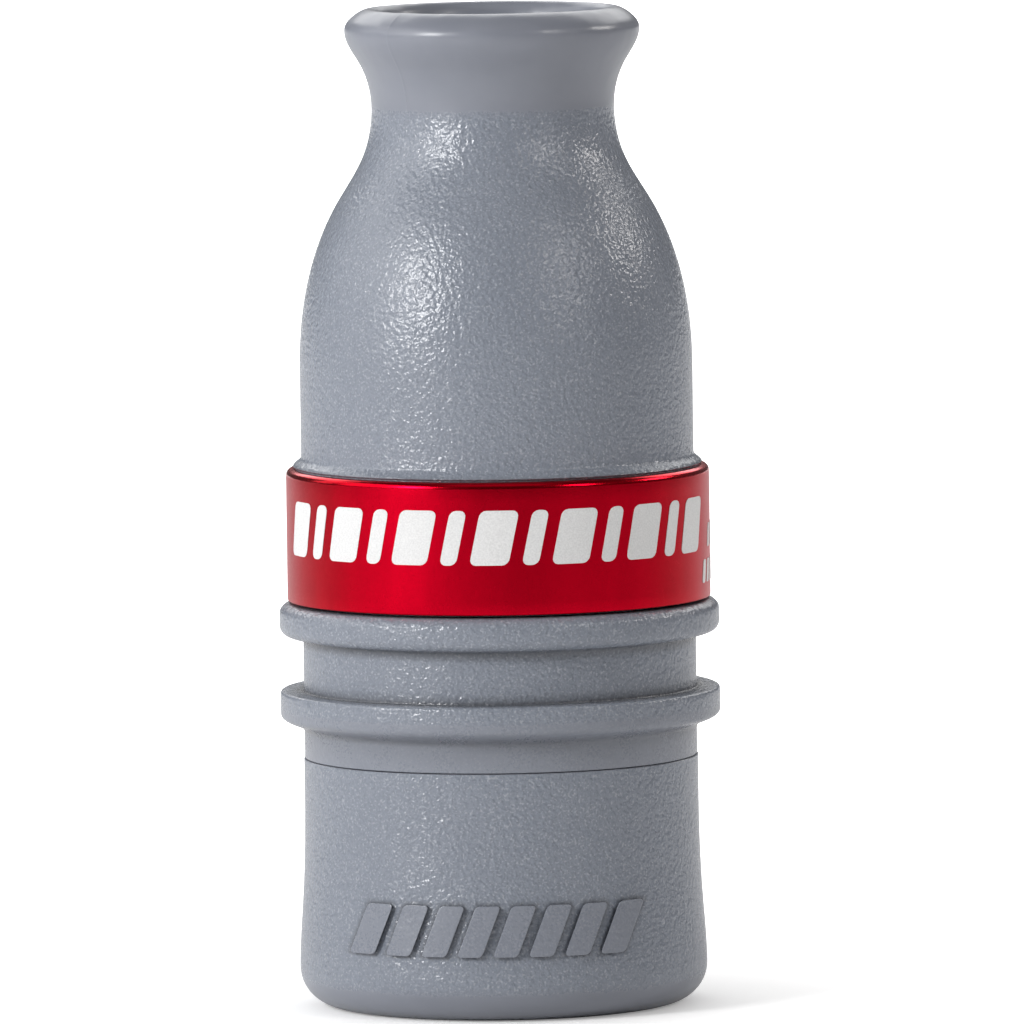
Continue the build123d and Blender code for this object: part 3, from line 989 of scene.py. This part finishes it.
def make_tuning_ring():
    """Rubber ring stretched in a D round board and reed, with a squarish section."""
    low, high = (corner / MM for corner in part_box("tuning_ring"))
    wall, section_steps = 1.5, 20
    middle = (low.z + high.z) / 2
    path = ring_path(high.x - wall / 2, low.y + wall / 2, 0.9)
    points = []
    for k, (x, y) in enumerate(path):
        before, after = path[k - 1], path[(k + 1) % len(path)]
        along = Vector((after[0] - before[0], after[1] - before[1])).normalized()
        for angle in even_angles(section_steps):
            out, rise = squared(angle, 2.6)
            out *= wall / 2
            points.append((x + along.y * out, y - along.x * out, middle + (high.z - low.z) / 2 * rise))
    obj = new_object("rubber_tuning_ring", points, ring_faces(len(path), section_steps))
    paint(obj, RUBBER)
    finish_piece(obj, "tuning_ring", "seal", "tuning_ring")


make_barrel()
make_band()
make_print()
make_insert()
make_tenon_rings()
make_end_shell()
make_tone_board()
make_reed()
make_wedge()
make_tuning_ring()


# ---------------------------------------------------------------- studio

# The studio's lengths are in metres
AIM = Vector((0, 0, 0.045))
WARM = (1.0, 0.965, 0.935)


def make_floor():
    """A pale paper floor that glows where it's seen directly, like an overexposed backdrop.

    The glow is weaker near the call, so that its shadow shows, and it lights nothing.
    """
    half = 6.0
    mesh = bpy.data.meshes.new("floor")
    corners = [(-half, -half, 0), (half, -half, 0), (half, half, 0), (-half, half, 0)]
    mesh.from_pydata(corners, [], [(0, 1, 2, 3)])
    paper = Shader("floor_paper", Roughness=0.9, Specular_IOR_Level=0.1)
    paper.set("Base Color", paper.mix(paper.noise(40), grey(0.89), grey(0.91)))
    paper.set("Emission Color", grey(1.0))
    away = paper.node("VectorMath", {"operation": "LENGTH"}, Vector=paper.place).outputs["Value"]
    seen = paper.node("LightPath").outputs["Is Camera Ray"]
    glow = paper.span(away, 0.015, 0.07, 0.25, 1.0)
    paper.set("Emission Strength", paper.calculate("MULTIPLY", seen, glow))
    mesh.materials.append(paper.material)
    add_object("floor", mesh)


def soft_box(name, size, power, colour=(1, 1, 1)):
    """An oblong light that the camera doesn't see, facing down until it's turned."""
    lamp = bpy.data.lights.new(name, "AREA")
    lamp.shape = "RECTANGLE"
    lamp.size, lamp.size_y = size
    lamp.energy = power
    lamp.color = colour
    light = add_object(name, lamp)
    light.visible_camera = False
    return light


def make_light(name, azimuth, elevation, distance, size, power, colour=(1, 1, 1)):
    """A soft box aimed at the middle of the call. Azimuth 0 is in front, and 90 on the right."""
    light = soft_box(name, size, power, colour)
    a, e = math.radians(azimuth), math.radians(elevation)
    away = Vector((math.sin(a) * math.cos(e), -math.cos(a) * math.cos(e), math.sin(e)))
    light.location = AIM + away * distance
    light.rotation_euler = (-away).to_track_quat("-Z", "Y").to_euler()


def make_floor_light():
    """A wide soft box over the floor behind the call, which keeps the backdrop white."""
    light = soft_box("backdrop", (3.0, 3.0), 64)
    light.location = (0, 2.3, 1.2)


def make_world(strength):
    """A dim even surround, which is white where it's seen directly, beyond the floor's edge."""
    world = bpy.data.worlds.new("studio")
    world.use_nodes = True
    nodes, links = world.node_tree.nodes, world.node_tree.links
    back = nodes["Background"]
    back.inputs["Color"].default_value = (1, 1, 1, 1)
    seen = nodes.new("ShaderNodeMapRange")
    links.new(nodes.new("ShaderNodeLightPath").outputs["Is Camera Ray"], seen.inputs["Value"])
    seen.inputs["To Min"].default_value = strength
    seen.inputs["To Max"].default_value = 1.0
    links.new(seen.outputs[0], back.inputs["Strength"])
    bpy.context.scene.world = world


def make_camera():
    """A long lens over a metre away, a little above the call, held very slightly askew."""
    side, distance, height, aim_height = 0.00108, 1.2, 0.140, 0.038
    lens = bpy.data.cameras.new("camera")
    lens.lens = 548
    lens.sensor_width = 36
    lens.clip_start, lens.clip_end = 0.05, 30
    camera = add_object("camera", lens)
    camera.location = (side, -distance, height)
    look = Vector((side, 0, aim_height)) - camera.location
    askew = Matrix.Rotation(math.radians(-0.75), 4, "Z")
    camera.rotation_euler = (look.to_track_quat("-Z", "Y").to_matrix().to_4x4() @ askew).to_euler()
    bpy.context.scene.camera = camera


make_floor()
make_world(0.10)
make_light("key", -49, 21, 0.60, (0.15, 0.21), 2.15)
make_light("left_fill", -75, 26, 0.60, (0.45, 0.45), 1.2)
make_light("left_side", -112, 25, 0.60, (0.15, 0.40), 0.32)
make_light("right_front", 49, 29, 0.60, (0.12, 0.22), 0.56, WARM)
make_light("right_side", 104, 27, 0.60, (0.16, 0.12), 0.62, WARM)
make_light("top", 0, 68, 0.80, (0.60, 0.60), 0.38)
make_floor_light()
make_camera()
bpy.context.scene.view_settings.view_transform = "Standard"
